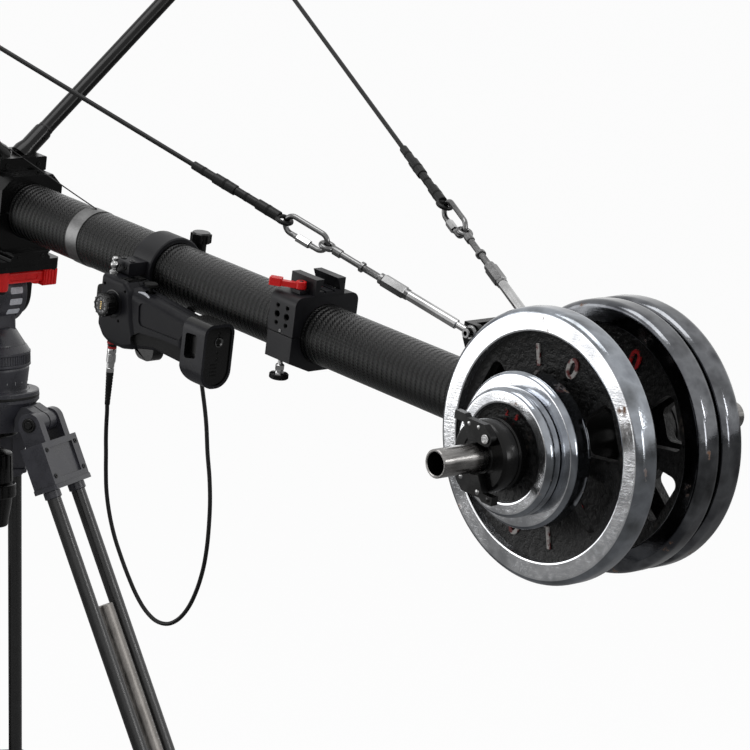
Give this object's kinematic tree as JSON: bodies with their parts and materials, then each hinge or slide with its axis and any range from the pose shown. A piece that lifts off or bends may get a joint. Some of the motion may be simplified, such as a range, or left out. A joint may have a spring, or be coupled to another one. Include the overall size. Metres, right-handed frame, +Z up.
{
  "type": "camera jib crane",
  "caption": "Tripod-mounted camera jib: braced tube boom on a pan and tilt head, with disc counterweights, hand controller and hanging camera stage.",
  "frame": {"origin": "floor level, at the middle of the crane's box (seen from above), without the control cable", "axes": "+X along the boom towards the weights, +Y across it away from the hand controller, +Z up"},
  "size_m": [3.4016, 0.7663, 1.6117],
  "materials": {
    "carbon": "gloss",
    "brushed_ring": "satin",
    "black_anodised": "satin",
    "head_steel": "satin",
    "leg_alloy": "satin",
    "chrome_plate": "polished",
    "bar_steel": "satin",
    "collar_plastic": "satin",
    "cam_steel": "satin",
    "wire_black": "matte",
    "red_anodised": "satin",
    "grip_grey": "matte",
    "black_plastic": "matte",
    "cable_black": "matte"
  },
  "bodies": {
    "tripod": {"crown": "black_anodised", "head_base": "black_anodised"},
    "leg_1": {"leg_1_upper": "black_anodised"},
    "leg_1_extension": {"leg_1_lower": "leg_alloy"},
    "leg_1_lever": {"leg_1_lock": "black_plastic"},
    "leg_2": {"leg_2_upper": "black_anodised"},
    "leg_2_extension": {"leg_2_lower": "leg_alloy"},
    "leg_2_lever": {"leg_2_lock": "black_plastic"},
    "leg_3": {"leg_3_upper": "black_anodised"},
    "leg_3_extension": {"leg_3_lower": "leg_alloy"},
    "leg_3_lever": {"leg_3_lock": "black_plastic"},
    "bowl_knob": {"tie_down_knob": "black_plastic"},
    "pan": {"pan_body": "black_anodised"},
    "boom": {"tilt_platform": "black_anodised", "cradle_lower": "black_anodised", "cradle_upper": "black_anodised", "mast_strut_near": "black_anodised", "mast_strut_far": "black_anodised", "rear_stay_wire_near": "wire_black", "rear_stay_wire_far": "wire_black", "quick_link_near": "bar_steel", "quick_link_far": "bar_steel", "rear_stay_rod_near": "bar_steel", "rear_stay_rod_far": "bar_steel", "front_stay_near": "wire_black", "front_stay_far": "wire_black", "boom_rear_tube": "carbon", "boom_joint_ring": "brushed_ring", "boom_centre_tube": "carbon", "boom_front_tube": "carbon", "tail_block": "black_anodised", "weight_bar": "bar_steel", "grip_clamp": "black_anodised", "grip_body": "grip_grey", "grip_end_cap": "black_plastic", "control_plug": "bar_steel", "control_cable": "cable_black", "rail_clamp_upper": "black_anodised", "rail_clamp_lower": "black_anodised", "nose_block": "head_steel"},
    "platform_lever": {"platform_lever": "red_anodised"},
    "near_collar": {"near_collar": "collar_plastic"},
    "near_large_disc": {"near_large_disc": "chrome_plate"},
    "near_medium_disc": {"near_medium_disc": "chrome_plate"},
    "near_small_disc": {"near_small_disc": "chrome_plate"},
    "near_cam": {"near_collar_cam": "cam_steel"},
    "far_collar": {"far_collar": "collar_plastic"},
    "far_inner_disc": {"far_inner_disc": "chrome_plate"},
    "far_outer_disc": {"far_outer_disc": "chrome_plate"},
    "far_cam": {"far_collar_cam": "cam_steel"},
    "clamp_knob": {"grip_clamp_knob": "black_plastic"},
    "dial": {"grip_dial": "black_plastic"},
    "push_pad": {"grip_push_pad": "black_plastic"},
    "thumb_stick": {"grip_thumb_stick": "black_plastic"},
    "trigger": {"grip_trigger": "black_plastic"},
    "rail_lever": {"rail_lever": "red_anodised"},
    "rail_screw": {"rail_thumb_screw": "bar_steel"},
    "level_bracket": {"levelling_bracket": "head_steel"},
    "yoke": {"head_yoke": "head_steel"},
    "camera_stage": {"camera_stage": "head_steel"}
  },
  "joints": [
    {"name": "leg_1_fold", "type": "hinge", "parent": "tripod", "child": "leg_1", "pos_m": [0.59089, 0.0741, 0.912], "axis": [-0.4289, 0.9033, 0], "range_deg": [0, 20]},
    {"name": "leg_1_slide", "type": "slide", "parent": "leg_1", "child": "leg_1_extension", "axis": [0.3164, 0.1502, -0.9367], "range_m": [-0.15, 0.29]},
    {"name": "leg_1_lock", "type": "hinge", "parent": "leg_1", "child": "leg_1_lever", "pos_m": [0.79178, 0.16949, 0.38661], "axis": [-0.4289, 0.9033, 0], "range_deg": [0, 100]},
    {"name": "leg_2_fold", "type": "hinge", "parent": "tripod", "child": "leg_2", "pos_m": [0.46659, 0.0841, 0.912], "axis": [-0.5678, -0.8231, 0], "range_deg": [0, 20]},
    {"name": "leg_2_slide", "type": "slide", "parent": "leg_2", "child": "leg_2_extension", "axis": [-0.2883, 0.1989, -0.9367], "range_m": [-0.15, 0.29]},
    {"name": "leg_2_lock", "type": "hinge", "parent": "leg_2", "child": "leg_2_lever", "pos_m": [0.28354, 0.21038, 0.38661], "axis": [-0.5678, -0.8231, 0], "range_deg": [0, 100]},
    {"name": "leg_3_fold", "type": "hinge", "parent": "tripod", "child": "leg_3", "pos_m": [0.52008, -0.02855, 0.912], "axis": [0.9968, -0.0802, 0], "range_deg": [0, 20]},
    {"name": "leg_3_slide", "type": "slide", "parent": "leg_3", "child": "leg_3_extension", "axis": [-0.0281, -0.3491, -0.9367], "range_m": [-0.15, 0.29]},
    {"name": "leg_3_lock", "type": "hinge", "parent": "leg_3", "child": "leg_3_lever", "pos_m": [0.50224, -0.25021, 0.38661], "axis": [0.9968, -0.0802, 0], "range_deg": [0, 100]},
    {"name": "bowl_knob_turn", "type": "hinge", "parent": "tripod", "child": "bowl_knob", "pos_m": [0.52585, 0.04322, 0.89], "axis": [0, 0, 1], "continuous": true},
    {"name": "pan_turn", "type": "hinge", "parent": "tripod", "child": "pan", "pos_m": [0.52585, 0.04322, 0.98], "axis": [0, 0, 1], "continuous": true},
    {"name": "boom_tilt", "type": "hinge", "parent": "pan", "child": "boom", "pos_m": [0.52585, 0.04322, 1.076], "axis": [0, 1, 0], "range_deg": [-30, 24.8]},
    {"name": "platform_lever_swing", "type": "hinge", "parent": "boom", "child": "platform_lever", "pos_m": [0.59218, 0.01522, 1.09455], "axis": [0.1771, 0, 0.9842], "range_deg": [-90, 0]},
    {"name": "near_collar_slide", "type": "slide", "parent": "boom", "child": "near_collar", "axis": [0, -1, 0], "range_m": [0, 0.045]},
    {"name": "near_large_disc_spin", "type": "hinge", "parent": "near_collar", "child": "near_large_disc", "pos_m": [1.5559, 0.00382, 1.01259], "axis": [0, 1, 0], "continuous": true},
    {"name": "near_medium_disc_spin", "type": "hinge", "parent": "near_collar", "child": "near_medium_disc", "pos_m": [1.5559, 0.00382, 1.01259], "axis": [0, 1, 0], "continuous": true},
    {"name": "near_small_disc_spin", "type": "hinge", "parent": "near_collar", "child": "near_small_disc", "pos_m": [1.5559, 0.00382, 1.01259], "axis": [0, 1, 0], "continuous": true},
    {"name": "near_cam_swing", "type": "hinge", "parent": "near_collar", "child": "near_cam", "pos_m": [1.57393, -0.08678, 1.03373], "axis": [0, 1, 0], "range_deg": [0, 60]},
    {"name": "far_collar_slide", "type": "slide", "parent": "boom", "child": "far_collar", "axis": [0, 1, 0], "range_m": [0, 0.045]},
    {"name": "far_inner_disc_spin", "type": "hinge", "parent": "far_collar", "child": "far_inner_disc", "pos_m": [1.5559, 0.08262, 1.01259], "axis": [0, 1, 0], "continuous": true},
    {"name": "far_outer_disc_spin", "type": "hinge", "parent": "far_collar", "child": "far_outer_disc", "pos_m": [1.5559, 0.08262, 1.01259], "axis": [0, 1, 0], "continuous": true},
    {"name": "far_cam_swing", "type": "hinge", "parent": "far_collar", "child": "far_cam", "pos_m": [1.57393, 0.17322, 1.03373], "axis": [0, 1, 0], "range_deg": [0, 60]},
    {"name": "clamp_knob_turn", "type": "hinge", "parent": "boom", "child": "clamp_knob", "pos_m": [0.8833, 0.09222, 1.15393], "axis": [0.1771, 0, 0.9842], "continuous": true},
    {"name": "dial_turn", "type": "hinge", "parent": "boom", "child": "dial", "pos_m": [0.88573, -0.05078, 1.09964], "axis": [0, 1, 0], "continuous": true},
    {"name": "push_pad_press", "type": "slide", "parent": "boom", "child": "push_pad", "axis": [0.9842, 0, -0.1771], "range_m": [0, 0.004], "stiffness_N_per_m": 500},
    {"name": "thumb_stick_tilt", "type": "hinge", "parent": "boom", "child": "thumb_stick", "pos_m": [0.93007, -0.02178, 1.10894], "axis": [0, 1, 0], "range_deg": [-20, 20], "stiffness_Nm_per_rad": 0.05},
    {"name": "trigger_press", "type": "slide", "parent": "boom", "child": "trigger", "axis": [0.1771, 0, 0.9842], "range_m": [0, 0.005], "stiffness_N_per_m": 400},
    {"name": "rail_lever_swing", "type": "hinge", "parent": "boom", "child": "rail_lever", "pos_m": [1.15112, 0.01622, 1.14029], "axis": [0.1771, 0, 0.9842], "range_deg": [0, 90]},
    {"name": "rail_screw_turn", "type": "hinge", "parent": "boom", "child": "rail_screw", "pos_m": [1.12912, 0.00222, 1.04061], "axis": [0.1771, 0, 0.9842], "continuous": true},
    {"name": "level_tilt", "type": "hinge", "parent": "boom", "child": "level_bracket", "pos_m": [-1.6259, 0.04322, 1.58509], "axis": [0, 1, 0], "range_deg": [-25, 25]},
    {"name": "head_pan", "type": "hinge", "parent": "level_bracket", "child": "yoke", "pos_m": [-1.6259, 0.04322, 1.41009], "axis": [0, 0, 1], "continuous": true},
    {"name": "camera_tilt", "type": "hinge", "parent": "yoke", "child": "camera_stage", "pos_m": [-1.6259, -0.03678, 1.25279], "axis": [0, 1, 0], "range_deg": [-90, 90]}
  ]
}
